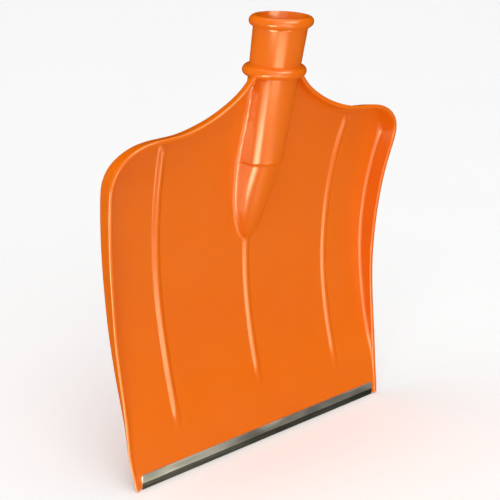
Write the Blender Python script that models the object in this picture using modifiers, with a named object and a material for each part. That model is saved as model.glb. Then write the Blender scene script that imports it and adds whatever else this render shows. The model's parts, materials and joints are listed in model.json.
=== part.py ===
"""Head of a plastic snow shovel: a moulded scoop with its shaft socket, and a riveted wear strip.

The drawing numbers are millimetres. They count X across the blade from its middle, Y backwards
from the cutting edge and Z up from it. The finished object has its origin at the middle of the
socket's mouth, +Z up, with its hollow, loading side facing -Y.
"""

import math

import bmesh
import bpy
from mathutils import Matrix, Vector

MM = 0.001

# The socket, counted down its own axis from the mouth. The axis leans towards the loading side.
MOUTH = Vector((0.0, -17.9, 466.4))
AXIS_TILT = math.radians(11.5)
RING_TILT = math.radians(3.2)
BORE_MOUTH_R = 24.6
BORE_TOP_R = 20.3
BORE_LEAD_IN = 20.0
BORE_END_R = 19.0
BORE_DEPTH = 145.0
SOCKET_LENGTH = 152.2
TUBE_TOP_R = 26.9
TUBE_COLLAR_R = 25.6
TUBE_END_R = 22.2
BEAD_R = 5.5
BEAD_CENTRE_R = 26.2
BEAD_DEPTH = 5.5
MOUTH_LAND = 3.0
COLLAR_R = 5.6
COLLAR_CENTRE_R = 26.5
COLLAR_DEPTH = 54.9
SOCKET_SIDES = 36

# The middle of the right-hand rim's lip, from the cutting edge up to the collar.
RIM = (
    (175.6, -1.8, 0.0), (177.0, 0.6, 13.0), (178.2, 3.6, 29.0), (178.6, 6.9, 58.0),
    (179.2, 12.3, 102.0), (180.5, 17.8, 152.0), (182.0, 18.0, 201.5), (184.0, 15.6, 236.5),
    (186.8, 10.0, 276.0), (189.3, 3.2, 305.5), (189.4, -1.7, 324.0), (184.6, -5.1, 337.5),
    (173.4, -7.5, 349.3), (156.5, -9.0, 357.2), (135.8, -9.5, 360.0), (114.0, -9.4, 361.5),
    (93.5, -9.6, 366.4), (75.0, -10.1, 373.4), (59.6, -10.9, 381.6), (47.9, -11.8, 389.4),
    (38.4, -13.0, 398.0), (29.0, -15.0, 410.0),
)
# Rows of faces run from the rim to the middle of the blade: their heights there, as (Z, Z).
RIM_TO_MIDDLE = (
    (0.0, 0.0), (150.0, 148.0), (236.0, 225.0), (286.0, 262.0), (322.0, 288.0), (346.0, 310.0),
    (355.0, 326.0), (359.5, 342.0), (372.0, 362.0), (388.0, 383.0), (410.0, 411.0),
)
# Depth of the loading face behind the cutting edge, as (Z, Y). It is the same right across.
PAN = (
    (0.0, 0.0), (16.0, 2.8), (50.0, 10.0), (80.0, 18.5), (110.0, 26.3), (140.0, 32.2),
    (170.0, 36.4), (200.0, 38.0), (230.0, 37.3), (255.0, 35.1), (285.0, 30.3), (315.0, 23.1),
    (345.0, 13.4), (360.0, 8.3), (375.0, 3.8), (397.0, -1.5), (412.0, -4.5),
)
WALL = 3.2
# The rim's inner side, as (distance in from the middle of the lip, share of the rim's height).
RIM_SIDE = ((1.6, 1.0), (2.8, 0.5), (4.0, 0.2), (6.2, 0.06), (10.0, 0.0))
ROW_STEPS = 2
MIDDLE_COLUMNS = 7

# The nose below the socket's end, which dies away into the loading face.
NOSE_TIP_Z = 227.5
NOSE_TOP_Z = 319.5
NOSE_HALF_WIDTH = 21.8
NOSE_TOP_Y = -9.4
NOSE_RISE_POWER = 0.5
NOSE_WALL = 3.2

# Ribs pressed forward from the loading face.
RIB_HEIGHT = 2.6
RIB_HALF_WIDTH = 4.5
SIDE_RIB = ((114.8, 40.0), (114.9, 90.0), (115.3, 150.0), (117.2, 210.0), (119.2, 270.0),
            (121.8, 330.0), (123.2, 353.0))
MIDDLE_RIB = ((0.0, 52.0), (0.0, 100.0), (0.0, 170.0), (0.0, 235.0))
RIB_FADE = 45.0

# The wear strip, a folded channel. N counts forwards from the loading face, T up along it.
STRIP_HALF_LENGTH = 169.0
STRIP_METAL = 1.2
STRIP_HEIGHT = 14.2
STRIP_NOSE = 6.0
STRIP_FOOT = -1.6
GAP = 0.3
TONGUE_T = 4.3
EDGE_LEAN = math.atan2(PAN[1][1], PAN[1][0])

RIVET_PLACES = (-154.0, -77.0, 0.0, 77.0, 154.0)
RIVET_T = 10.0
RIVET_R = 1.6
RIVET_HEAD_R = 3.4
RIVET_HEAD = 1.4
RIVET_GRIP = 4.0


def clear_scene():
    for item in list(bpy.data.objects):
        bpy.data.objects.remove(item, do_unlink=True)


def collection(name):
    made = bpy.data.collections.new(name)
    bpy.context.scene.collection.children.link(made)
    return made


def material(name, color, roughness, metallic=0.0):
    made = bpy.data.materials.new(name)
    made.use_nodes = True
    shader = made.node_tree.nodes["Principled BSDF"]
    shader.inputs["Base Color"].default_value = (*color, 1.0)
    shader.inputs["Roughness"].default_value = roughness
    shader.inputs["Metallic"].default_value = metallic
    made.diffuse_color = (*color, 1.0)
    return made


def add_object(name, mesh, group, look=None):
    made = bpy.data.objects.new(name, mesh)
    group.objects.link(made)
    if look:
        mesh.materials.append(look)
    return made


def placed(point):
    """A drawing point, in millimetres from the cutting edge, in the object's own metres."""
    return (Vector(point) - MOUTH) * MM


def smooth_path(points, steps):
    """A centripetal Catmull-Rom curve through the points, with this many steps to a span."""
    knots = [Vector(p) for p in points]
    knots = [2 * knots[0] - knots[1], *knots, 2 * knots[-1] - knots[-2]]
    path = []
    for before, start, end, after in zip(knots, knots[1:], knots[2:], knots[3:]):
        gaps = [math.sqrt((b - a).length) for a, b in ((before, start), (start, end), (end, after))]
        leave = (start - before) / gaps[0] - (end - before) / (gaps[0] + gaps[1])
        leave = (end - start) + gaps[1] * leave
        arrive = (after - end) / gaps[2] - (after - start) / (gaps[1] + gaps[2])
        arrive = (end - start) + gaps[1] * arrive
        for step in range(steps):
            t = step / steps
            path.append(
                (2 * t**3 - 3 * t**2 + 1) * start
                + (t**3 - 2 * t**2 + t) * leave
                + (3 * t**2 - 2 * t**3) * end
                + (t**3 - t**2) * arrive
            )
    return [*path, knots[-2]]


def read_table(table, value):
    """Straight-line reading of a table of (input, output) pairs with rising inputs."""
    for (x0, y0), (x1, y1) in zip(table, table[1:]):
        if value <= x1:
            break
    return y0 + (y1 - y0) * (value - x0) / (x1 - x0)


PAN_TABLE = [tuple(p) for p in smooth_path(PAN, 6)]


def pan_depth(z):
    return read_table(PAN_TABLE, z)


def blade_half():
    """Rows of points over the right half of the loading face, from the lip in to the middle."""
    path = smooth_path(RIM, ROW_STEPS)
    rows = []
    for i, lip in enumerate(path):
        ahead = path[min(i + 1, len(path) - 1)] - path[max(i - 1, 0)]
        inward = Vector((-ahead.z, 0.0, ahead.x)).normalized()
        if i == 0:
            inward = Vector((-1.0, 0.0, 0.0))
        height = pan_depth(lip.z) - lip.y
        row = []
        for inset, share in RIM_SIDE:
            spot = lip + inset * inward
            row.append((spot.x, pan_depth(spot.z) - share * height, spot.z))
        foot = Vector(row[-1])
        middle_z = read_table(RIM_TO_MIDDLE, lip.z)
        for column in range(1, MIDDLE_COLUMNS + 1):
            t = column / MIDDLE_COLUMNS
            z = foot.z + (middle_z - foot.z) * t
            row.append((foot.x * (1 - t), pan_depth(z), z))
        rows.append(row)
    return rows


def sheet(name, rows, group):
    """An open surface over rows of points, facing the loading side."""
    mesh = bpy.data.meshes.new(name)
    shape = bmesh.new()
    grid = [[shape.verts.new(placed(p)) for p in row] for row in rows]
    for low, high in zip(grid, grid[1:]):
        for a, b, c, d in zip(low, low[1:], high[1:], high):
            shape.faces.new((a, d, c, b))
    shape.to_mesh(mesh)
    shape.free()
    return add_object(name, mesh, group)


def loft(name, rings, group):
    """A closed solid over rings that all have the same number of points."""
    mesh = bpy.data.meshes.new(name)
    shape = bmesh.new()
    loops = [[shape.verts.new(placed(p)) for p in ring] for ring in rings]
    for low, high in zip(loops, loops[1:]):
        for i in range(len(low)):
            shape.faces.new((low[i - 1], low[i], high[i], high[i - 1]))
    shape.faces.new(loops[0])
    shape.faces.new(loops[-1])
    bmesh.ops.recalc_face_normals(shape, faces=shape.faces)
    shape.to_mesh(mesh)
    shape.free()
    return add_object(name, mesh, group)


def evaluated(item):
    """The object's mesh with its modifiers applied."""
    bpy.context.view_layer.update()
    return bpy.data.meshes.new_from_object(
        item.evaluated_get(bpy.context.evaluated_depsgraph_get())
    )


def turned(name, profile, group, sides, look=None):
    """A profile of (radius, height) points in metres, turned about Z."""
    mesh = bpy.data.meshes.new(name)
    mesh.from_pydata(
        [(r, 0.0, h) for r, h in profile], [(i, i + 1) for i in range(len(profile) - 1)], []
    )
    made = add_object(name, mesh, group, look)
    screw = made.modifiers.new("turn", "SCREW")
    screw.steps = sides
    screw.render_steps = sides
    screw.use_merge_vertices = True
    screw.merge_threshold = 0.0000001
    return made


def lean_onto_socket(item):
    """Shears and tilts a turned piece, made about Z below the mouth, onto the socket's axis."""
    mesh = evaluated(item)
    shear = Matrix.Identity(4)
    shear[1][2] = -math.tan(AXIS_TILT - RING_TILT)
    mesh.transform(Matrix.Rotation(RING_TILT, 4, "X") @ shear)
    item.modifiers.clear()
    item.data = mesh
    return item


def drop(distance):
    """Height along the rings' own normal for a distance down the socket's axis."""
    return -distance * math.cos(AXIS_TILT - RING_TILT)


def socket_body(group):
    """The socket's outside as one solid, from the mouth's flat land to its closed end."""
    points = [(0.0, 0.0), (BEAD_CENTRE_R - MOUTH_LAND / 2, 0.0), (BEAD_CENTRE_R + MOUTH_LAND / 2, 0.0)]
    for degrees in range(60, -61, -20):
        angle = math.radians(degrees)
        points.append(
            (BEAD_CENTRE_R + BEAD_R * math.cos(angle), drop(BEAD_DEPTH) + BEAD_R * math.sin(angle))
        )
    points.append((TUBE_TOP_R, drop(BEAD_DEPTH + BEAD_R + 0.6)))
    points.append((TUBE_COLLAR_R, drop(COLLAR_DEPTH - COLLAR_R - 0.6)))
    for degrees in range(60, -61, -20):
        angle = math.radians(degrees)
        points.append((
            COLLAR_CENTRE_R + COLLAR_R * math.cos(angle),
            drop(COLLAR_DEPTH) + COLLAR_R * math.sin(angle),
        ))
    points.append((TUBE_COLLAR_R, drop(COLLAR_DEPTH + COLLAR_R + 0.6)))
    points.append((TUBE_END_R, drop(SOCKET_LENGTH - 0.8)))
    points.append((TUBE_END_R - 0.8, drop(SOCKET_LENGTH)))
    points.append((0.0, drop(SOCKET_LENGTH)))
    profile = [(r * MM, h * MM) for r, h in points]
    return lean_onto_socket(turned("socket_body", profile, group, SOCKET_SIDES))


def socket_bore(group):
    """The hollow that takes the shaft, open past the mouth, with a flared lead-in."""
    points = (
        (0.0, 6.0),
        (BORE_MOUTH_R, 6.0),
        (BORE_MOUTH_R, 0.0),
        ((BORE_MOUTH_R + BORE_TOP_R) / 2 - 0.5, drop(BORE_LEAD_IN * 0.4)),
        (BORE_TOP_R, drop(BORE_LEAD_IN)),
        (BORE_END_R, drop(BORE_DEPTH)),
        (0.0, drop(BORE_DEPTH)),
    )
    profile = [(r * MM, h * MM) for r, h in points]
    return lean_onto_socket(turned("socket_bore", profile, group, SOCKET_SIDES))


def nose_rings(inset):
    """Arched rings of the nose; with an inset they outline the hollow behind it instead."""
    rings = []
    top_rise = pan_depth(NOSE_TOP_Z) - NOSE_TOP_Y
    steps = 10
    for step in range(steps + 1):
        share = 0.02 + 0.98 * (step / steps) ** 1.4
        if inset:
            share = 0.07 + 0.86 * (step / steps) ** 1.2
        z = NOSE_TIP_Z + share * (NOSE_TOP_Z - NOSE_TIP_Z)
        half = NOSE_HALF_WIDTH * math.sqrt(1 - (1 - share) ** 2) - inset
        rise = top_rise * share**NOSE_RISE_POWER - inset
        base = pan_depth(z) + (WALL + 6.0 if inset else WALL / 2)
        ring = [(half, base, z)]
        for degrees in range(0, 181, 15):
            angle = math.radians(degrees)
            ring.append((half * math.cos(angle), pan_depth(z) - rise * math.sin(angle), z))
        ring.append((-half, base, z))
        rings.append(ring)
    return rings


def rib_rings(route):
    """Rings of a low ridge that runs up the loading face and fades out at its lower end."""
    rings = []
    for x, z in [tuple(p) for p in smooth_path(route, 3)]:
        fade = min((z - route[0][1]) / RIB_FADE, 1.0)
        rise = 0.2 + (RIB_HEIGHT - 0.2) * fade * (2 - fade)
        half = RIB_HALF_WIDTH * (0.4 + 0.6 * fade)
        y = pan_depth(z)
        arch = ((-1, -0.6), (-1, 0), (-0.25, 0.9), (0, 1), (0.25, 0.9), (1, 0), (1, -0.6))
        rings.append([(x + half * a, y - (rise * b if b > 0 else b), z) for a, b in arch])
    return rings


def cut_or_join(target, tool, operation):
    change = target.modifiers.new(tool.name, "BOOLEAN")
    change.operation = operation
    change.object = tool
    change.solver = "EXACT"
    tool.hide_render = True
    tool.display_type = "WIRE"


def edge_matrix(x=0.0, n=0.0, t=0.0):
    """Places a piece drawn with local X forwards (N), local Y up the blade (T) and local Z along X."""
    forwards = Vector((0.0, -math.cos(EDGE_LEAN), math.sin(EDGE_LEAN)))
    up = Vector((0.0, math.sin(EDGE_LEAN), math.cos(EDGE_LEAN)))
    along = forwards.cross(up)
    turn = Matrix((forwards, up, along)).transposed().to_4x4()
    spot = placed(Vector((x, 0.0, 0.0)) + n * forwards + t * up)
    return Matrix.Translation(spot) @ turn


def edge_section(name, outline, half_length, group, look=None):
    """A flat outline of (N, T) millimetres, made solid along the cutting edge."""
    curve = bpy.data.curves.new(name, "CURVE")
    curve.dimensions = "2D"
    curve.fill_mode = "BOTH"
    curve.extrude = half_length * MM
    line = curve.splines.new("POLY")
    line.points.add(len(outline) - 1)
    for point, (n, t) in zip(line.points, outline):
        point.co = (n * MM, t * MM, 0.0, 1.0)
    line.use_cyclic_u = True
    drawn = bpy.data.objects.new(name + "_drawn", curve)
    group.objects.link(drawn)
    mesh = evaluated(drawn)
    bpy.data.objects.remove(drawn)
    shape = bmesh.new()
    shape.from_mesh(mesh)
    bmesh.ops.remove_doubles(shape, verts=shape.verts, dist=0.000001)
    bmesh.ops.recalc_face_normals(shape, faces=shape.faces)
    shape.to_mesh(mesh)
    shape.free()
    mesh.materials.clear()
    made = add_object(name, mesh, group, look)
    made.matrix_world = edge_matrix()
    return made


def strip_outline():
    front = GAP + STRIP_METAL
    back = -WALL - GAP - STRIP_METAL
    middle = -WALL / 2
    return (
        (front, STRIP_HEIGHT), (front, STRIP_NOSE), (middle + 1.0, STRIP_FOOT),
        (middle - 0.6, STRIP_FOOT),
        (back, STRIP_NOSE), (back, STRIP_HEIGHT), (-WALL - GAP, STRIP_HEIGHT),
        (-WALL - GAP, TONGUE_T - GAP), (GAP, TONGUE_T - GAP), (GAP, STRIP_HEIGHT),
    )


def strip_room_outline():
    """The space cut from the moulding for the strip, which leaves a tongue inside the channel."""
    hair = 0.02
    top = STRIP_HEIGHT + GAP
    return (
        (6.0, top), (6.0, -6.0), (-11.0, -6.0), (-11.0, top),
        (-WALL - hair, top), (-WALL - hair, TONGUE_T), (hair, TONGUE_T), (hair, top),
    )


def rivet_profile():
    """Domed head behind the channel and a shank that stops inside the tongue, in metres."""
    back = WALL + GAP + STRIP_METAL + GAP
    points = (
        (0.0, back + RIVET_HEAD),
        (RIVET_HEAD_R * 0.5, back + RIVET_HEAD * 0.88),
        (RIVET_HEAD_R * 0.85, back + RIVET_HEAD * 0.45),
        (RIVET_HEAD_R, back),
        (RIVET_R, back),
        (RIVET_R, back - RIVET_GRIP),
        (0.0, back - RIVET_GRIP),
    )
    return [(r * MM, h * MM) for r, h in points]


def rivet_hole_profile():
    back = WALL + GAP + STRIP_METAL + GAP
    radius = RIVET_R + GAP
    points = ((0.0, back + 3.0), (radius, back + 3.0), (radius, back - RIVET_GRIP - GAP),
              (0.0, back - RIVET_GRIP - GAP))
    return [(r * MM, h * MM) for r, h in points]


def rivet_matrix(x):
    """Turns a rivet drawn about Z so that its head points out of the back of the blade."""
    return edge_matrix(x, 0.0, RIVET_T) @ Matrix.Rotation(-math.pi / 2, 4, "Y")


def make_blade(parts, cutters, look):
    blade = sheet("blade", blade_half(), parts)
    blade.data.materials.append(look)
    mirror = blade.modifiers.new("left_half", "MIRROR")
    mirror.merge_threshold = 0.0000001
    thick = blade.modifiers.new("wall", "SOLIDIFY")
    thick.thickness = WALL * MM
    thick.offset = -1.0
    thick.use_even_offset = True
    cut_or_join(blade, socket_body(cutters), "UNION")
    cut_or_join(blade, loft("nose", nose_rings(0.0), cutters), "UNION")
    left_rib = [(-x, z) for x, z in SIDE_RIB]
    for name, route in (("rib_right", SIDE_RIB), ("rib_left", left_rib), ("rib_middle", MIDDLE_RIB)):
        cut_or_join(blade, loft(name, rib_rings(route), cutters), "UNION")
    cut_or_join(blade, socket_bore(cutters), "DIFFERENCE")
    cut_or_join(blade, loft("nose_hollow", nose_rings(NOSE_WALL), cutters), "DIFFERENCE")
    room = edge_section("strip_room", strip_room_outline(), STRIP_HALF_LENGTH + GAP, cutters)
    cut_or_join(blade, room, "DIFFERENCE")
    return blade


def make_strip(parts, look):
    return edge_section("wear_strip", strip_outline(), STRIP_HALF_LENGTH, parts, look)


def make_rivets(parts, cutters, look, blade, strip):
    for number, x in enumerate(RIVET_PLACES, 1):
        rivet = turned(f"strip_rivet_{number}", rivet_profile(), parts, 16, look)
        rivet.matrix_world = rivet_matrix(x)
        hole = turned(f"rivet_hole_{number}", rivet_hole_profile(), cutters, 16)
        hole.matrix_world = rivet_matrix(x)
        cut_or_join(blade, hole, "DIFFERENCE")
        cut_or_join(strip, hole, "DIFFERENCE")


def main():
    clear_scene()
    parts = collection("snow_shovel_head")
    cutters = collection("cutters")
    plastic = material("orange_polypropylene", (0.86, 0.17, 0.01), 0.38)
    metal = material("brushed_aluminium", (0.33, 0.33, 0.34), 0.34, 1.0)
    rivet_metal = material("rivet_aluminium", (0.45, 0.45, 0.46), 0.4, 1.0)
    blade = make_blade(parts, cutters, plastic)
    strip = make_strip(parts, metal)
    make_rivets(parts, cutters, rivet_metal, blade, strip)


main()
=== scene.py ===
"""Looks of the snow shovel head: a fine mesh of the moulding, its wear strip, rivets and materials.

Drawing numbers are millimetres in the CAD's drawing frame: X across the blade, Y backwards from
the cutting edge and Z up from it. EDGE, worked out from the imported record, places that frame.
"""

import json
import math

import bmesh
import bpy
import numpy as np
from mathutils import Matrix, Vector


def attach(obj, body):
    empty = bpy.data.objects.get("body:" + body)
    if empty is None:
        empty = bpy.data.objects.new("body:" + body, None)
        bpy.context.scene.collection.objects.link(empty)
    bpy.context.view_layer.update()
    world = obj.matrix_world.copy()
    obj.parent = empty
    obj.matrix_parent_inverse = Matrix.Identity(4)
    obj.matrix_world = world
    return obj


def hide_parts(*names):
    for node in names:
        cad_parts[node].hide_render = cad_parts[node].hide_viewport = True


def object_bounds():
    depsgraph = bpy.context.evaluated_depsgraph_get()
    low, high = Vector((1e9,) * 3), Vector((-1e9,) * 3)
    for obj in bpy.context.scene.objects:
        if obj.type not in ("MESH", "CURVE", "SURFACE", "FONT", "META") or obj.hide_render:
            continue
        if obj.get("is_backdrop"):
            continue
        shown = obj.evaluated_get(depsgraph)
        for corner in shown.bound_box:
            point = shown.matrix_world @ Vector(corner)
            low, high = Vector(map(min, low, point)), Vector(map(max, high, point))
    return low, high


MM = 0.001
# Points closer together than this, in metres, are one point.
WELD = 1e-6
# Lower than any surface, where there is none.
FAR_BELOW = -1e9
# Added to a width that is zero at its end, because it is divided by.
NOT_NOTHING = 1e-6
# A field's last point has no next one to read towards, so reading stops just short of it.
SHORT_OF_LAST = 1.001

# The line that the right-hand rim's lip follows, from the cutting edge up to the collar: X, Y, Z.
RIM = (
    (175.6, -1.8, 0.0), (177.0, 0.6, 13.0), (178.2, 3.6, 29.0), (178.6, 6.9, 58.0),
    (179.2, 12.3, 102.0), (180.5, 17.8, 152.0), (182.0, 18.0, 201.5), (184.0, 15.6, 236.5),
    (186.8, 10.0, 276.0), (189.3, 3.2, 305.5), (189.4, -1.7, 324.0), (184.6, -5.1, 337.5),
    (173.4, -7.5, 349.3), (156.5, -9.0, 357.2), (135.8, -9.5, 360.0), (114.0, -9.4, 361.5),
    (93.5, -9.6, 366.4), (75.0, -10.1, 373.4), (59.6, -10.9, 381.6), (47.9, -11.8, 389.4),
    (38.4, -13.0, 398.0), (29.0, -15.0, 410.0),
)
# Where a row of faces that starts at the rim's height Z meets the middle of the blade.
RIM_TO_MIDDLE = (
    (0.0, 0.0), (150.0, 148.0), (236.0, 225.0), (286.0, 262.0), (322.0, 288.0), (346.0, 310.0),
    (355.0, 326.0), (360.0, 342.0), (372.0, 362.0), (388.0, 383.0), (410.0, 411.0),
)
# Depth of the loading face behind the cutting edge: Z, Y.
PAN = (
    (0.0, 0.0), (16.0, 2.8), (50.0, 10.0), (80.0, 18.5), (110.0, 26.3), (140.0, 32.2),
    (170.0, 36.4), (200.0, 38.0), (230.0, 37.3), (255.0, 35.1), (285.0, 30.3), (315.0, 23.1),
    (345.0, 13.4), (360.0, 8.3), (375.0, 3.8), (397.0, -1.5), (412.0, -4.5),
)
WALL = 3.2
# Half the lip's width, how far inside the rim's line it sits, and its round's depth as a share of R.
LIP_R = 2.3
LIP_SHIFT = 0.9
LIP_ROUND = 0.7
LIP_STEPS = 8
# The rim's inner side leans by the draft and ends in a cove, at most this share of its height.
DRAFT = math.radians(4.0)
COVE_R = 5.0
COVE_MOST = 0.9
COVE_STEPS = 9
UPRIGHT_STEPS = 5
LOWEST_RIM = 0.3

# The socket, counted down its own axis from the mouth.
AXIS_TILT = math.radians(11.5)
RING_TILT = math.radians(3.2)
MOUTH_Y = -17.9
MOUTH_Z = 466.4
BORE_MOUTH_R = 25.4
BORE_TOP_R = 20.3
BORE_END_R = 19.0
BORE_DEPTH = 145.0
BORE_LEAD_IN = 18.0
BORE_LEAD_STEPS = 8
# The bore's tool stands above the mouth, wider than the flare, which starts just above it.
BORE_ABOVE = 6.0
BORE_WIDER = 1.0
FLARE_ABOVE = 0.6
SOCKET_LENGTH = 152.2
TUBE_TOP_R = 26.9
TUBE_COLLAR_R = 25.6
TUBE_END_R = 22.2
BEAD_R = 5.5
BEAD_CENTRE_R = 26.2
BEAD_DEPTH = 5.5
MOUTH_LAND = 3.0
COLLAR_R = 5.6
COLLAR_CENTRE_R = 26.5
COLLAR_DEPTH = 54.9
NECK_DEPTH = 66.0
NECK_TAPER = 2.0
# The soft hollows where the tube meets the bead and the collar: places along it, and how far out.
HOLLOW_NEAR = 0.7
HOLLOW_FAR = 1.8
BEAD_HOLLOW = 0.15
COLLAR_HOLLOW_NEAR = 0.35
COLLAR_HOLLOW_FAR = 0.2
BULGE_POINTS = 19
TURN_STEPS = 128

# The nose that runs down the loading face from the socket's end.
NOSE_TIP_Z = 227.5
NOSE_TOP_Z = 322.0
NOSE_HALF_WIDTH = 21.8
NOSE_TOP_Y = -10.7
NOSE_RISE_POWER = 0.5
# The power of the nose's rounded section at its tip, and what it gains towards its top.
NOSE_FULLNESS = 2.0
NOSE_FULLNESS_GAIN = 0.5
# The core behind the nose stops this far from its tip and top, and passes this far behind the back.
CORE_FROM_TIP = 7.0
CORE_FROM_TOP = 4.0
CORE_BEHIND = 6.0
CORE_ROWS = 24
CORE_ARC_STEP = 6
# The nose and socket are height fields over X and Z, filleted by a ball and softened.
FOOT_FILLET = 5.0
SOFTNESS = 0.6
SOFT_REACH = 4
FIELD_STEP = 0.5
FIELD_HALF = 48.0
FIELD_LOW = 214.0
FIELD_HIGH = 420.0

RIB_HEIGHT = 2.6
RIB_HALF_WIDTH = 5.6
RIB_FADE = 45.0
# The middle line of a side rib: X, Z.
SIDE_RIB = ((114.8, 30.0), (114.9, 90.0), (115.3, 150.0), (117.2, 210.0), (119.2, 270.0),
            (121.8, 330.0), (123.6, 360.0))
SIDE_RIB_LOW = 38.0
SIDE_RIB_HIGH = 355.0
SIDE_RIB_END_FADE = 12.0
MIDDLE_RIB_LOW = 50.0
MIDDLE_RIB_HIGH = 232.0
MIDDLE_RIB_END_FADE = 6.0

# Rows of faces follow the rim, closer together at the nose's tip, the socket's end and the shoulder.
ROW_STEP = 2.4
RIM_SAMPLES = 4000
RIM_AHEAD = 0.5
STEP_REACH = 5.0
SHOULDER_Z = 338.0
SHOULDER_REACH = 20.0
SHOULDER_FROM_X = 150
MORE_AT_SHOULDER = 0.8
MORE_AT_SOCKET_END = 2.0
MORE_AT_TIP = 0.8
# The exact cuts are sensitive to this: some other numbers, such as 112, have left no blade.
FRONT_COLUMNS = 104
BACK_COLUMNS = 40
PATH_SAMPLES = 500
# Columns are closer together near a side rib, and near the middle, above all beside the nose.
RIB_REACH = 7.0
MORE_AT_RIB = 2.2
MIDDLE_REACH = 32.0
MORE_AT_MIDDLE = 1.2
MIDDLE_SHARE_LOW = 0.35
MIDDLE_SHARE_GAIN = 0.65
MIDDLE_SHARE_FULL_Z = 230

STRIP_HALF_LENGTH = 169.0
STRIP_METAL = 1.2
STRIP_HEIGHT = 14.2
STRIP_NOSE = 6.0
STRIP_FOOT = -1.6
STRIP_FOOT_AHEAD = 1.0
STRIP_FOOT_BEHIND = 0.6
STRIP_CORNER = 2.6
STRIP_CORNER_POINTS = 7
STRIP_SECTIONS = 41
STRIP_BEVEL = 0.25
STRIP_BEVEL_ANGLE = 12
STRIP_BACK_MARGIN = 0.1
EDGE_FACE_T = 10.0
GAP = 0.3
TONGUE_T = 4.3
# How far the room cut for the strip reaches: forwards of the face, and up from the cutting edge.
ROOM_AHEAD = 6.0
ROOM_BELOW = -6.0
ROOM_BEHIND = -11.0
ROOM_HAIR = 0.02

SMOOTH_ANGLE = 32.0
STRIP_SMOOTH_ANGLE = 40

# The stage, in metres and degrees in the object's own frame.
MIDDLE = Vector((0.0, 0.0, -0.235))
CAMERA_PLACE = (-0.6569, -0.7402, 0.0965)
CAMERA_DOWN = 18.78
CAMERA_TURN = -39.79
CAMERA_LENS = 72.15
CAMERA_SENSOR = 36.0
CAMERA_CLIP = 100.0
FLOOR_SIZE = 40.0
SUN_WIDTH = 75.0
SOFTBOX_DISTANCE = 1.2
WARM = (1.0, 0.92, 0.58)
WHITE = (1.0, 1.0, 1.0)
WORLD_STRENGTH = 0.2

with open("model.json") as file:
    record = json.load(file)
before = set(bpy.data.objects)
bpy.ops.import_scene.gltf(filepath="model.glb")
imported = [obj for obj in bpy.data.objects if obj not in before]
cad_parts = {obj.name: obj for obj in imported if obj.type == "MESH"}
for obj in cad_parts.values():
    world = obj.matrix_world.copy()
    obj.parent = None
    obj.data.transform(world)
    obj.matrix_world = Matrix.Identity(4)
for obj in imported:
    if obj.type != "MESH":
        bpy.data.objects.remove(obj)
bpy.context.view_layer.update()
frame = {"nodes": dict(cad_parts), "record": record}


def edge_origin():
    """The drawing's origin and the strip's lean, from the mount on the strip's front band."""
    mount = next(m for m in frame["record"]["mounts"] if m["name"] == "edge_face")
    forwards = Vector(mount["axis"])
    up = Vector((0.0, forwards.z, -forwards.y))
    on_band = Vector(mount["pos_m"]) / MM
    origin = on_band - (GAP + STRIP_METAL) * forwards - EDGE_FACE_T * up
    origin.x = 0.0
    return origin, forwards, up


EDGE, FORWARDS, UP = edge_origin()


def spline(knots):
    """A natural cubic curve through (input, output, ...) knots, as a function of an array."""
    knots = np.array(knots, float)
    x, y = knots[:, 0], knots[:, 1:]
    gap = np.diff(x)
    count = len(x)
    system = np.eye(count)
    right = np.zeros_like(y)
    for i in range(1, count - 1):
        system[i, i - 1 : i + 2] = gap[i - 1], 2 * (gap[i - 1] + gap[i]), gap[i]
        right[i] = 6 * ((y[i + 1] - y[i]) / gap[i] - (y[i] - y[i - 1]) / gap[i - 1])
    bend = np.linalg.solve(system, right)

    def read(value):
        value = np.asarray(value, float)
        i = np.clip(np.searchsorted(x, value) - 1, 0, count - 2)
        h = gap[i][..., None]
        b = ((value - x[i])[..., None]) / h
        a = 1 - b
        out = a * y[i] + b * y[i + 1]
        out = out + ((a**3 - a) * bend[i] + (b**3 - b) * bend[i + 1]) * h**2 / 6
        return out[..., 0] if out.shape[-1] == 1 else out

    return read


def rim_path():
    """The rim's lip as a smooth curve of its own length, and that length."""
    points = np.array(RIM)
    run = np.concatenate([[0.0], np.cumsum(np.linalg.norm(np.diff(points, axis=0), axis=1))])
    return spline(np.column_stack([run, points])), run[-1]


pan = spline(PAN)
rib_line = spline([(z, x) for x, z in SIDE_RIB])
middle_of = spline(RIM_TO_MIDDLE)


def near(distance, reach, power=2):
    """1 at a place, falling to 0 beyond this reach of it."""
    return np.exp(-((distance / reach) ** power))


def rib_x(z):
    """The side rib's distance from the middle, which stops changing past its line's ends."""
    return rib_line(np.clip(z, SIDE_RIB[0][1], SIDE_RIB[-1][1]))


def axis_y(z):
    """The socket's axis at a height."""
    return MOUTH_Y + math.tan(AXIS_TILT) * (MOUTH_Z - z)


def tube_radius(z):
    """The socket's outer radius below the collar, at a height."""
    depth = (MOUTH_Z - z) / math.cos(AXIS_TILT)
    return np.interp(depth, (COLLAR_DEPTH, SOCKET_LENGTH), (TUBE_COLLAR_R, TUBE_END_R))


def tube_end():
    """The height of the socket's closed end on its axis."""
    return MOUTH_Z - SOCKET_LENGTH * math.cos(AXIS_TILT)


def tube_reach(x, z):
    """How far the socket's surface is from its axis along Y, and FAR_BELOW where it has none."""
    radius = tube_radius(z)
    inside = (np.abs(x) < radius) & (z > tube_end())
    reach = np.sqrt(np.maximum(radius**2 - x**2, 0.0)) / math.cos(AXIS_TILT)
    return np.where(inside, reach, FAR_BELOW)


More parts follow.
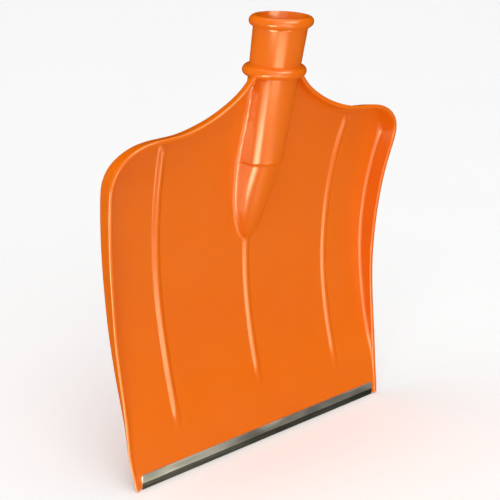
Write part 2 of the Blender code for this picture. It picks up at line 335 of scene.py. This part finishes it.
def nose_rise(x, z):
    """How far the nose stands forward of the loading face."""
    share = np.clip((z - NOSE_TIP_Z) / (NOSE_TOP_Z - NOSE_TIP_Z), 0.0, 1.0)
    half = NOSE_HALF_WIDTH * np.sqrt(1 - (1 - share) ** 2) + NOT_NOTHING
    top = (pan(NOSE_TOP_Z) - NOSE_TOP_Y) * share**NOSE_RISE_POWER
    fullness = NOSE_FULLNESS + NOSE_FULLNESS_GAIN * share
    arch = np.clip(1 - np.abs(x / half) ** fullness, 0.0, 1.0) ** (1 / fullness)
    return np.where((z > NOSE_TIP_Z) & (z <= NOSE_TOP_Z), top * arch, 0.0)


def rolled(field, radius):
    """A height field with a ball's fillet in every hollow, then softened a little."""
    reach = int(radius / FIELD_STEP)
    ball = [
        (i, j, math.sqrt(radius**2 - (i * FIELD_STEP) ** 2 - (j * FIELD_STEP) ** 2))
        for i in range(-reach, reach + 1)
        for j in range(-reach, reach + 1)
        if (i * FIELD_STEP) ** 2 + (j * FIELD_STEP) ** 2 < radius**2
    ]
    for sign in (1, -1):
        wide = np.pad(sign * field, reach, mode="edge")
        rows, columns = field.shape
        shifted = (
            wide[reach + i : reach + i + rows, reach + j : reach + j + columns] + height
            for i, j, height in ball
        )
        best = np.full_like(field, FAR_BELOW)
        for layer in shifted:
            np.maximum(best, layer, out=best)
        field = sign * best
    offsets = np.arange(-SOFT_REACH, SOFT_REACH + 1)
    weights = np.exp(-0.5 * (offsets * FIELD_STEP / SOFTNESS) ** 2)
    weights /= weights.sum()
    for axis in (0, 1):
        margins = [(SOFT_REACH, SOFT_REACH) if a == axis else (0, 0) for a in (0, 1)]
        wide = np.pad(field, margins, mode="edge")
        size = field.shape[axis]
        starts = SOFT_REACH + offsets
        field = sum(
            w * np.take(wide, range(first, first + size), axis) for first, w in zip(starts, weights)
        )
    return field


def field_reader(field):
    """Reads a height field at any X and Z, straight between its points."""
    top = np.array(field.shape) - SHORT_OF_LAST

    def read(x, z):
        u = np.clip((np.asarray(x) + FIELD_HALF) / FIELD_STEP, 0, top[0])
        v = np.clip((np.asarray(z) - FIELD_LOW) / FIELD_STEP, 0, top[1])
        i, j = u.astype(int), v.astype(int)
        u, v = u - i, v - j
        low = field[i, j] * (1 - u) + field[i + 1, j] * u
        high = field[i, j + 1] * (1 - u) + field[i + 1, j + 1] * u
        return low * (1 - v) + high * v

    return read


def bump_fields():
    """The nose and socket in front of the loading face, and the socket behind the back."""
    across = np.arange(-FIELD_HALF, FIELD_HALF + FIELD_STEP / 2, FIELD_STEP)
    along = np.arange(FIELD_LOW, FIELD_HIGH, FIELD_STEP)
    x, z = np.meshgrid(across, along, indexing="ij")
    face = pan(z)
    ahead = face - axis_y(z) + tube_reach(x, z)
    front = np.maximum(nose_rise(x, z), np.maximum(ahead, 0.0))
    behind = axis_y(z) + tube_reach(x, z) - face - WALL
    back = np.maximum(behind, 0.0)
    return field_reader(rolled(front, FOOT_FILLET)), field_reader(rolled(back, FOOT_FILLET))


front_bump, back_bump = bump_fields()


def ease(value):
    """A smooth climb from 0 to 1 as the value goes from 0 to 1."""
    value = np.clip(value, 0.0, 1.0)
    return value * value * (3 - 2 * value)


def ridge(distance):
    """A rib's section: round on top, with soft feet."""
    share = np.clip(np.abs(distance) / RIB_HALF_WIDTH, 0.0, 1.0)
    return RIB_HEIGHT * (1 - share**2) ** 2


def ribs(x, z):
    """How far the side ribs and the middle rib stand forward of the loading face."""
    side = ridge(np.abs(x) - rib_x(z))
    side = side * ease((z - SIDE_RIB_LOW) / RIB_FADE) * ease((SIDE_RIB_HIGH - z) / SIDE_RIB_END_FADE)
    middle = ridge(x) * ease((z - MIDDLE_RIB_LOW) / RIB_FADE)
    middle = middle * ease((MIDDLE_RIB_HIGH - z) / MIDDLE_RIB_END_FADE)
    return side + middle


def front_y(x, z):
    """Y of the front face, with its ribs, nose and socket."""
    return pan(z) - ribs(x, z) - front_bump(x, z)


def back_y(x, z):
    """Y of the back face, with its socket."""
    return pan(z) + WALL + back_bump(x, z)


def wall_section(height):
    """The rim's inner side and cove, as (inset from the rim's line, share of its height)."""
    cove = min(COVE_R, COVE_MOST * height)
    upright = height - cove
    points = []
    for step in range(UPRIGHT_STEPS):
        down = upright * step / UPRIGHT_STEPS
        points.append((LIP_SHIFT + LIP_R + down * math.tan(DRAFT), 1 - down / height))
    for step in range(COVE_STEPS + 1):
        angle = math.pi / 2 * step / COVE_STEPS
        inset = LIP_SHIFT + LIP_R + upright * math.tan(DRAFT) + cove * (1 - math.cos(angle))
        points.append((inset, cove * (1 - math.sin(angle)) / height))
    return np.array(points)


def inner_path(foot, middle_z, surface, columns):
    """Points over a face from a row's foot to the middle, closer together where it bends."""

    def points_at(t):
        x = foot[0] * (1 - t)
        z = middle_z + (foot[2] - middle_z) * (1 - t) ** 2
        return np.column_stack([x, surface(x, z), z])

    t = np.linspace(0.0, 1.0, PATH_SAMPLES)
    path = points_at(t)
    middle = (path[1:] + path[:-1]) / 2
    near_rib = near(middle[:, 0] - rib_x(middle[:, 2]), RIB_REACH, 4)
    nose_share = MIDDLE_SHARE_LOW + MIDDLE_SHARE_GAIN * ease(middle[:, 2] / MIDDLE_SHARE_FULL_Z)
    near_middle = near(middle[:, 0], MIDDLE_REACH, 4) * nose_share
    weight = 1 + MORE_AT_RIB * near_rib + MORE_AT_MIDDLE * near_middle
    cost = np.linalg.norm(np.diff(path, axis=0), axis=1) * weight
    run = np.concatenate([[0.0], np.cumsum(cost)])
    return points_at(np.interp(np.linspace(0.0, run[-1], columns + 1)[1:], run, t))


def half_ring(lip, inward):
    """One row of the moulding's right half, from its middle in front, round the lip, to its middle behind."""
    lip_back = lip[1] + LIP_R * LIP_ROUND
    height = max(pan(lip[2] + LIP_R * inward[2]) - lip_back, LOWEST_RIM)
    section = wall_section(height)
    inset, share = section[:, 0], section[:, 1]
    spots = lip + inset[:, None] * inward
    y = pan(spots[:, 2]) - share * height
    inner = np.column_stack([spots[:, 0], y, spots[:, 2]])
    flow = np.gradient(np.column_stack([inset, y]), axis=0)
    flow /= np.linalg.norm(flow, axis=1)[:, None]
    thick = WALL + (2 * LIP_R - WALL) * share
    behind_inset = inset - thick * flow[:, 1]
    behind = lip + behind_inset[:, None] * inward
    outer = np.column_stack([behind[:, 0], y + thick * flow[:, 0], behind[:, 2]])
    outer[0] = lip + (LIP_SHIFT - LIP_R) * inward
    outer[0, 1] = lip_back
    rolled_lip = []
    for step in range(1, LIP_STEPS):
        angle = math.pi * step / LIP_STEPS
        spot = lip + (LIP_SHIFT + LIP_R * math.cos(angle)) * inward
        spot[1] = lip_back - LIP_R * LIP_ROUND * math.sin(angle)
        rolled_lip.append(spot)
    middle_z = float(middle_of(lip[2]))
    front = inner_path(inner[-1], middle_z, front_y, FRONT_COLUMNS)
    back = inner_path(outer[-1], middle_z, back_y, BACK_COLUMNS)
    raised = front_bump(inner[:, 0], inner[:, 2]) + ribs(inner[:, 0], inner[:, 2])
    inner[:, 1] -= raised * (1 - share) ** 2
    outer[:, 1] += back_bump(outer[:, 0], outer[:, 2]) * (1 - share) ** 2
    return np.vstack([front[::-1], inner[::-1], rolled_lip, outer, back])


def row_places(length, path):
    """Distances along the rim where rows start."""
    fine = np.linspace(0.0, length, RIM_SAMPLES)
    spots = path(fine)
    middle = middle_of(spots[:, 2])
    socket_end = near(middle - tube_end(), STEP_REACH)
    tip = near(middle - NOSE_TIP_Z, STEP_REACH)
    shoulder = near(spots[:, 2] - SHOULDER_Z, SHOULDER_REACH) * (spots[:, 0] > SHOULDER_FROM_X)
    density = 1 + MORE_AT_SHOULDER * shoulder + MORE_AT_SOCKET_END * socket_end + MORE_AT_TIP * tip
    run = np.concatenate([[0.0], np.cumsum((density[1:] + density[:-1]) / 2 * np.diff(fine))])
    return np.interp(np.linspace(0.0, run[-1], int(run[-1] / ROW_STEP)), run, fine)


def scoop_rings():
    """Closed rings round the moulding, from the cutting edge up to the collar."""
    path, length = rim_path()
    rings = []
    for place in row_places(length, path):
        lip = path(place)
        ahead = path(min(place + RIM_AHEAD, length)) - path(max(place - RIM_AHEAD, 0.0))
        inward = np.array((-ahead[2], 0.0, ahead[0]))
        inward = np.array((-1.0, 0.0, 0.0)) if place == 0 else inward / np.linalg.norm(inward)
        half = half_ring(lip, inward)
        half[0, 0] = half[-1, 0] = 0.0
        left = half[-2:0:-1] * (-1, 1, 1)
        rings.append(np.vstack([half, left]))
    return rings


def placed(point):
    """A drawing point in the object's own metres."""
    return (Vector(point) + EDGE) * MM


def add_mesh(name, shape, look=None):
    """Puts a bmesh in the scene, facing outwards, with its material if it has one."""
    bmesh.ops.recalc_face_normals(shape, faces=shape.faces)
    mesh = bpy.data.meshes.new(name)
    shape.to_mesh(mesh)
    shape.free()
    made = bpy.data.objects.new(name, mesh)
    bpy.context.scene.collection.objects.link(made)
    if look:
        mesh.materials.append(look)
    return made


def loft(name, rings, look=None):
    """A closed solid over rings that all have the same number of points."""
    shape = bmesh.new()
    loops = [[shape.verts.new(placed(p)) for p in ring] for ring in rings]
    for low, high in zip(loops, loops[1:]):
        for i in range(len(low)):
            shape.faces.new((low[i - 1], low[i], high[i], high[i - 1]))
    shape.faces.new(loops[0])
    shape.faces.new(loops[-1])
    return add_mesh(name, shape, look)


def turned(name, profile):
    """A solid from a profile of (radius, height) millimetres that starts and ends on Z."""
    shape = bmesh.new()
    line = [shape.verts.new((r * MM, 0.0, h * MM)) for r, h in profile]
    edges = [shape.edges.new(pair) for pair in zip(line, line[1:])]
    bmesh.ops.spin(
        shape, geom=[*line, *edges], cent=(0, 0, 0), axis=(0, 0, 1), angle=2 * math.pi, steps=TURN_STEPS
    )
    bmesh.ops.remove_doubles(shape, verts=shape.verts, dist=WELD)
    return add_mesh(name, shape)


def socket_matrix():
    """Shears and tilts a piece turned about Z below the mouth onto the socket's axis."""
    shear = Matrix.Identity(4)
    shear[1][2] = -math.tan(AXIS_TILT - RING_TILT)
    mouth = placed((0.0, MOUTH_Y, MOUTH_Z))
    return Matrix.Translation(mouth) @ Matrix.Rotation(RING_TILT, 4, "X") @ shear


def drop(distance):
    """The height, in a turned piece's own frame, of a place this far down the socket's axis."""
    return -distance * math.cos(AXIS_TILT - RING_TILT)


def bulge(centre_r, depth, radius, start, end):
    """Profile points round a bead's section, from one angle to another, in degrees."""
    angles = np.radians(np.linspace(start, end, BULGE_POINTS))
    return [(centre_r + radius * math.cos(a), drop(depth) + radius * math.sin(a)) for a in angles]


def neck_profile():
    """The socket above the scoop: mouth land, rolled bead, tube and collar."""
    points = [(0.0, 0.0), (BEAD_CENTRE_R - MOUTH_LAND / 2, 0.0)]
    points += bulge(BEAD_CENTRE_R, BEAD_DEPTH, BEAD_R, start=80, end=-78)
    bead_end = BEAD_DEPTH + BEAD_R
    points.append((TUBE_TOP_R + BEAD_HOLLOW, drop(bead_end + HOLLOW_NEAR)))
    points.append((TUBE_TOP_R, drop(bead_end + HOLLOW_FAR)))
    points.append((TUBE_COLLAR_R + COLLAR_HOLLOW_FAR, drop(COLLAR_DEPTH - COLLAR_R - HOLLOW_FAR)))
    points.append((TUBE_COLLAR_R + COLLAR_HOLLOW_NEAR, drop(COLLAR_DEPTH - COLLAR_R - HOLLOW_NEAR)))
    points += bulge(COLLAR_CENTRE_R, COLLAR_DEPTH, COLLAR_R, start=78, end=-84)
    points.append((TUBE_COLLAR_R - NECK_TAPER, drop(COLLAR_DEPTH + COLLAR_R)))
    points.append((TUBE_COLLAR_R - 2 * NECK_TAPER, drop(NECK_DEPTH)))
    points.append((0.0, drop(NECK_DEPTH)))
    return points


def bore_profile():
    """The hollow for the shaft, whose lead-in flares out smoothly to the mouth."""
    lead = [(0.0, BORE_ABOVE), (BORE_MOUTH_R + BORE_WIDER, BORE_ABOVE)]
    for step in range(BORE_LEAD_STEPS + 1):
        share = step / BORE_LEAD_STEPS
        flare = (BORE_MOUTH_R - BORE_TOP_R) * (1 - share) ** 2
        lead.append((BORE_TOP_R + flare, FLARE_ABOVE - (BORE_LEAD_IN + FLARE_ABOVE) * share))
    return [*lead, (BORE_END_R, drop(BORE_DEPTH)), (0.0, drop(BORE_DEPTH))]


def nose_hollow_rings():
    """The core's space behind the nose, open at the back of the blade."""
    rings = []
    length = tube_end() - CORE_FROM_TOP - NOSE_TIP_Z - CORE_FROM_TIP
    for step in range(CORE_ROWS + 1):
        z = NOSE_TIP_Z + CORE_FROM_TIP + length * (step / CORE_ROWS)
        share = (z - NOSE_TIP_Z) / (NOSE_TOP_Z - NOSE_TIP_Z)
        half = NOSE_HALF_WIDTH * math.sqrt(1 - (1 - share) ** 2) - WALL
        rise = float(nose_rise(0.0, z)) - WALL
        base = float(pan(z)) + WALL + CORE_BEHIND
        ring = [(half, base, z)]
        for degrees in range(0, 181, CORE_ARC_STEP):
            angle = math.radians(degrees)
            ring.append((half * math.cos(angle), float(pan(z)) - rise * math.sin(angle), z))
        ring.append((-half, base, z))
        rings.append(ring)
    return rings


def on_edge(x, n, t):
    """A point from its place along the strip, forwards of the face (N) and up along it (T)."""
    return Vector((x, 0.0, 0.0)) + n * FORWARDS + t * UP


def channel_outline(top):
    """The strip's section as (N, T) with its top edge at this height."""
    front = GAP + STRIP_METAL
    back = -WALL - GAP - STRIP_METAL
    middle = -WALL / 2
    return (
        (front, top), (front, STRIP_NOSE),
        (middle + STRIP_FOOT_AHEAD, STRIP_FOOT), (middle - STRIP_FOOT_BEHIND, STRIP_FOOT),
        (back, STRIP_NOSE), (back, top), (-WALL - GAP, top), (-WALL - GAP, TONGUE_T - GAP),
        (GAP, TONGUE_T - GAP), (GAP, top),
    )


def strip_rings():
    """Sections of the strip from end to end, lower where its top corners are rounded."""
    rings = []
    inner = STRIP_HALF_LENGTH - STRIP_CORNER
    angles = np.radians(np.linspace(0, 90, STRIP_CORNER_POINTS))
    right = [(inner + STRIP_CORNER * math.sin(a), STRIP_CORNER * (1 - math.cos(a))) for a in angles]
    left = [(-x, low) for x, low in reversed(right)]
    between = [(x, 0.0) for x in np.linspace(-inner, inner, STRIP_SECTIONS)[1:-1]]
    for x, low in [*left, *between, *right]:
        rings.append([on_edge(x, n, t) for n, t in channel_outline(STRIP_HEIGHT - low)])
    return rings


def room_rings():
    """The box and side slots that the strip takes from the moulding, leaving a tongue."""
    top = STRIP_HEIGHT + GAP
    outline = (
        (ROOM_AHEAD, top), (ROOM_AHEAD, ROOM_BELOW), (ROOM_BEHIND, ROOM_BELOW), (ROOM_BEHIND, top),
        (-WALL - ROOM_HAIR, top), (-WALL - ROOM_HAIR, TONGUE_T), (ROOM_HAIR, TONGUE_T), (ROOM_HAIR, top),
    )
    half = STRIP_HALF_LENGTH + GAP
    return [[on_edge(x, n, t) for n, t in outline] for x in (-half, half)]


def boolean(target, tool, operation):
    """Adds an exact union or difference with a tool to an object's modifiers."""
    change = target.modifiers.new(tool.name, "BOOLEAN")
    change.operation = operation
    change.object = tool
    change.solver = "EXACT"


def applied(item, *spent):
    """Makes an object's modifiers part of its mesh and removes the tools they used."""
    bpy.context.view_layer.update()
    mesh = bpy.data.meshes.new_from_object(
        item.evaluated_get(bpy.context.evaluated_depsgraph_get())
    )
    item.modifiers.clear()
    item.data = mesh
    for tool in spent:
        bpy.data.objects.remove(tool, do_unlink=True)


def merge_slivers(item):
    """Joins the points that the cuts left on top of each other."""
    mesh = bmesh.new()
    mesh.from_mesh(item.data)
    torn = [edge for edge in mesh.edges if not edge.is_manifold]
    bmesh.ops.dissolve_degenerate(mesh, dist=WELD, edges=torn)
    mesh.to_mesh(item.data)
    mesh.free()


def smooth(item, degrees=SMOOTH_ANGLE):
    """Shades an object smooth, with its edges sharp above this angle."""
    item.data.shade_smooth()
    item.data.set_sharp_from_angle(angle=math.radians(degrees))


def make_blade(look):
    """The moulding: the scoop's loft joined to the neck, with its hollows cut out."""
    blade = loft("blade_moulding", scoop_rings(), look)
    neck = turned("neck", neck_profile())
    neck.data.transform(socket_matrix())
    bore = turned("bore", bore_profile())
    bore.data.transform(socket_matrix())
    hollow = loft("hollow", nose_hollow_rings())
    room = loft("room", room_rings())
    boolean(blade, neck, "UNION")
    for tool in (bore, hollow, room):
        boolean(blade, tool, "DIFFERENCE")
    applied(blade, neck, bore, hollow, room)
    if not blade.data.polygons:
        raise RuntimeError("the cuts left nothing of the blade")
    merge_slivers(blade)
    smooth(blade)
    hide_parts("blade")
    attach(blade, "root")


def make_strip(looks):
    """The folded strip, which is bright on its bands, with painted shade on its nose: a dark colour that
    stands in for the dark surroundings it reflects.
    """
    strip = loft("wear_strip_metal", strip_rings())
    for look in looks:
        strip.data.materials.append(look)
    for face in strip.data.polygons:
        middle = face.center / MM - EDGE
        up = middle.dot(UP)
        ahead = middle.dot(FORWARDS)
        # The nose's faces take the second material, whose dark colour is painted shade for the dark
        # surroundings that the nose faces.
        if up < STRIP_NOSE and ahead > -WALL - GAP - STRIP_METAL + STRIP_BACK_MARGIN:
            face.material_index = 1
    bevel = strip.modifiers.new("edges", "BEVEL")
    bevel.width = STRIP_BEVEL * MM
    bevel.segments = 2
    bevel.limit_method = "ANGLE"
    bevel.angle_limit = math.radians(STRIP_BEVEL_ANGLE)
    applied(strip)
    smooth(strip, STRIP_SMOOTH_ANGLE)
    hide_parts("wear_strip")
    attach(strip, "root")


def finish_rivets(look):
    """Gives the CAD's own rivets their metal."""
    for name, node in frame["nodes"].items():
        if name.startswith("strip_rivet"):
            node.data.materials.clear()
            node.data.materials.append(look)
            node.data.shade_smooth()


class Look:
    """A procedural material being put together."""

    def __init__(self, name, color, roughness, metallic=0.0):
        self.material = bpy.data.materials.new(name)
        self.material.use_nodes = True
        self.tree = self.material.node_tree
        self.shader = self.tree.nodes["Principled BSDF"]
        self.shader.inputs["Base Color"].default_value = (*color, 1.0)
        self.shader.inputs["Roughness"].default_value = roughness
        self.shader.inputs["Metallic"].default_value = metallic
        self.place = self.node("ShaderNodeTexCoord").outputs["Object"]

    def node(self, kind, **settings):
        made = self.tree.nodes.new(kind)
        for key, value in settings.items():
            setattr(made, key, value)
        return made

    def link(self, start, end):
        self.tree.links.new(start, end)

    def noise(self, scale, detail=3.0, stretch=(1.0, 1.0, 1.0)):
        mapping = self.node("ShaderNodeMapping")
        mapping.inputs["Scale"].default_value = stretch
        self.link(self.place, mapping.inputs["Vector"])
        made = self.node("ShaderNodeTexNoise")
        made.inputs["Scale"].default_value = scale
        made.inputs["Detail"].default_value = detail
        self.link(mapping.outputs["Vector"], made.inputs["Vector"])
        return made.outputs["Fac"]

    def ranged(self, value, low, high, start=0.3, end=0.7):
        made = self.node("ShaderNodeMapRange")
        made.inputs["From Min"].default_value = start
        made.inputs["From Max"].default_value = end
        made.inputs["To Min"].default_value = low
        made.inputs["To Max"].default_value = high
        self.link(value, made.inputs["Value"])
        return made.outputs["Result"]

    def mixed(self, fac, first, second):
        made = self.node("ShaderNodeMix", data_type="RGBA")
        made.inputs["A"].default_value = (*first, 1.0)
        made.inputs["B"].default_value = (*second, 1.0)
        self.link(fac, made.inputs["Factor"])
        return made.outputs["Result"]

    def bump(self, height, strength, distance):
        made = self.node("ShaderNodeBump")
        made.inputs["Strength"].default_value = strength
        made.inputs["Distance"].default_value = distance
        self.link(height, made.inputs["Height"])
        self.link(made.outputs["Normal"], self.shader.inputs["Normal"])


def orange_plastic():
    """Glossy moulded plastic, with a faint drift of colour, uneven gloss and a very fine grain."""
    look = Look("orange_plastic", (0.86, 0.155, 0.004), 0.36)
    tint = look.ranged(look.noise(9.0, 4.0), 0.0, 1.0)
    color = look.mixed(tint, (0.84, 0.150, 0.0006), (0.86, 0.164, 0.0009))
    look.link(color, look.shader.inputs["Base Color"])
    gloss = look.ranged(look.noise(45.0, 2.0), 0.21, 0.27)
    look.link(gloss, look.shader.inputs["Roughness"])
    look.bump(look.noise(1100.0, 1.0), 0.05, 0.0001)
    look.shader.inputs["IOR"].default_value = 1.49
    return look.material


def brushed_metal(name, low, high, roughness):
    """Metal between two colours, with fine streaks and longer patches of wear along X."""
    look = Look(name, low, roughness, 1.0)
    streaks = look.noise(900.0, 4.0, (0.02, 1.0, 1.0))
    look.link(look.mixed(look.ranged(streaks, 0.0, 1.0), low, high), look.shader.inputs["Base Color"])
    # Patches of wear in the roughness only; any painted shade is in the colours that a caller gives.
    wear_and_painted_shade = look.noise(70.0, 4.0, (0.3, 1.0, 1.0))
    look.link(look.ranged(wear_and_painted_shade, roughness - 0.07, roughness + 0.09), look.shader.inputs["Roughness"])
    look.bump(streaks, 0.25, 0.0001)
    return look.material


def direction(azimuth, elevation):
    """The way towards a lamp: azimuth 0 is in front of the scoop, and 90 at its right."""
    turn, rise = math.radians(azimuth), math.radians(elevation)
    flat = math.cos(rise)
    return Vector((math.sin(turn) * flat, -math.cos(turn) * flat, math.sin(rise)))


def add_lamp(name, kind, energy, azimuth, elevation):
    """A lamp that shines from this side of the object."""
    lamp = bpy.data.lights.new(name, kind)
    lamp.energy = energy
    made = bpy.data.objects.new(name, lamp)
    bpy.context.scene.collection.objects.link(made)
    made.rotation_euler = direction(azimuth, elevation).to_track_quat("Z", "Y").to_euler()
    return made


def soft_sun(name, azimuth, elevation, strength):
    """Even light from a wide patch of the studio's ceiling or wall."""
    made = add_lamp(name, "SUN", strength, azimuth, elevation)
    made.data.angle = math.radians(SUN_WIDTH)
    return made


def softbox(name, azimuth, elevation, size, power):
    """A warm rectangle that faces the object's middle and shows only in its reflections."""
    made = add_lamp(name, "AREA", power, azimuth, elevation)
    made.data.shape = "RECTANGLE"
    made.data.size = size[0]
    made.data.size_y = size[1]
    made.data.color = WARM
    made.location = MIDDLE + SOFTBOX_DISTANCE * direction(azimuth, elevation)
    made.visible_camera = False
    made.visible_diffuse = False


def make_stage():
    """A pale floor and a white world, neither of which shows in the object's reflections."""
    low = min(corner[2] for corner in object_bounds())
    bpy.ops.mesh.primitive_plane_add(size=FLOOR_SIZE, location=(0.0, 0.0, low))
    floor = bpy.context.object
    floor.name = "floor"
    look = Look("pale_floor", (0.97, 0.97, 0.97), 0.9)
    look.link(look.ranged(look.noise(3.0), 0.85, 0.95), look.shader.inputs["Roughness"])
    floor.data.materials.append(look.material)
    floor.visible_glossy = False
    floor.visible_shadow = False
    floor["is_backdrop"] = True
    world = bpy.data.worlds.new("soft_studio")
    world.use_nodes = True
    background = world.node_tree.nodes["Background"]
    background.inputs["Color"].default_value = (*WHITE, 1.0)
    background.inputs["Strength"].default_value = WORLD_STRENGTH
    bpy.context.scene.world = world
    world.cycles_visibility.glossy = False


def make_lights():
    """Three wide suns light the object, and four softboxes put highlights on it."""
    soft_sun("front_wall", -28.0, 22.0, 1.45)
    soft_sun("ceiling", 0.0, 82.0, 1.7)
    soft_sun("back_left_wall", -118.0, 10.0, 1.2).visible_glossy = False
    softbox("left_softbox", -76.0, -32.0, (0.6, 0.4), 16.5)
    softbox("side_softbox", -28.0, -14.0, (0.85, 0.45), 9.0)
    softbox("low_softbox", -5.0, -44.0, (0.8, 0.3), 4.2)
    softbox("top_softbox", 0.0, 44.0, (0.8, 0.6), 13.0)


def make_camera():
    """The viewpoint: to the left of the scoop's front and a little above its top."""
    lens = bpy.data.cameras.new("camera")
    lens.lens = CAMERA_LENS
    lens.sensor_width = CAMERA_SENSOR
    lens.clip_end = CAMERA_CLIP
    camera = bpy.data.objects.new("camera", lens)
    bpy.context.scene.collection.objects.link(camera)
    camera.location = CAMERA_PLACE
    camera.rotation_euler = (math.radians(90.0 - CAMERA_DOWN), 0.0, math.radians(CAMERA_TURN))
    bpy.context.scene.camera = camera


def main():
    """Makes the whole scene."""
    make_camera()
    make_blade(orange_plastic())
    band = brushed_metal("aluminium_band", (0.68, 0.69, 0.76), (0.84, 0.84, 0.90), 0.40)
    # The strip's nose: metal whose dark colours are painted shade, standing in for the dark surroundings that
    # its downward face reflects; its roughness has patches of wear.
    wear_and_painted_shade = brushed_metal("nose_painted_shade", (0.08, 0.082, 0.095), (0.17, 0.172, 0.19), 0.44)
    make_strip((band, wear_and_painted_shade))
    finish_rivets(brushed_metal("rivet_aluminium", (0.4, 0.4, 0.41), (0.5, 0.5, 0.5), 0.38))
    make_stage()
    make_lights()
    bpy.context.scene.view_settings.view_transform = "Standard"


main()
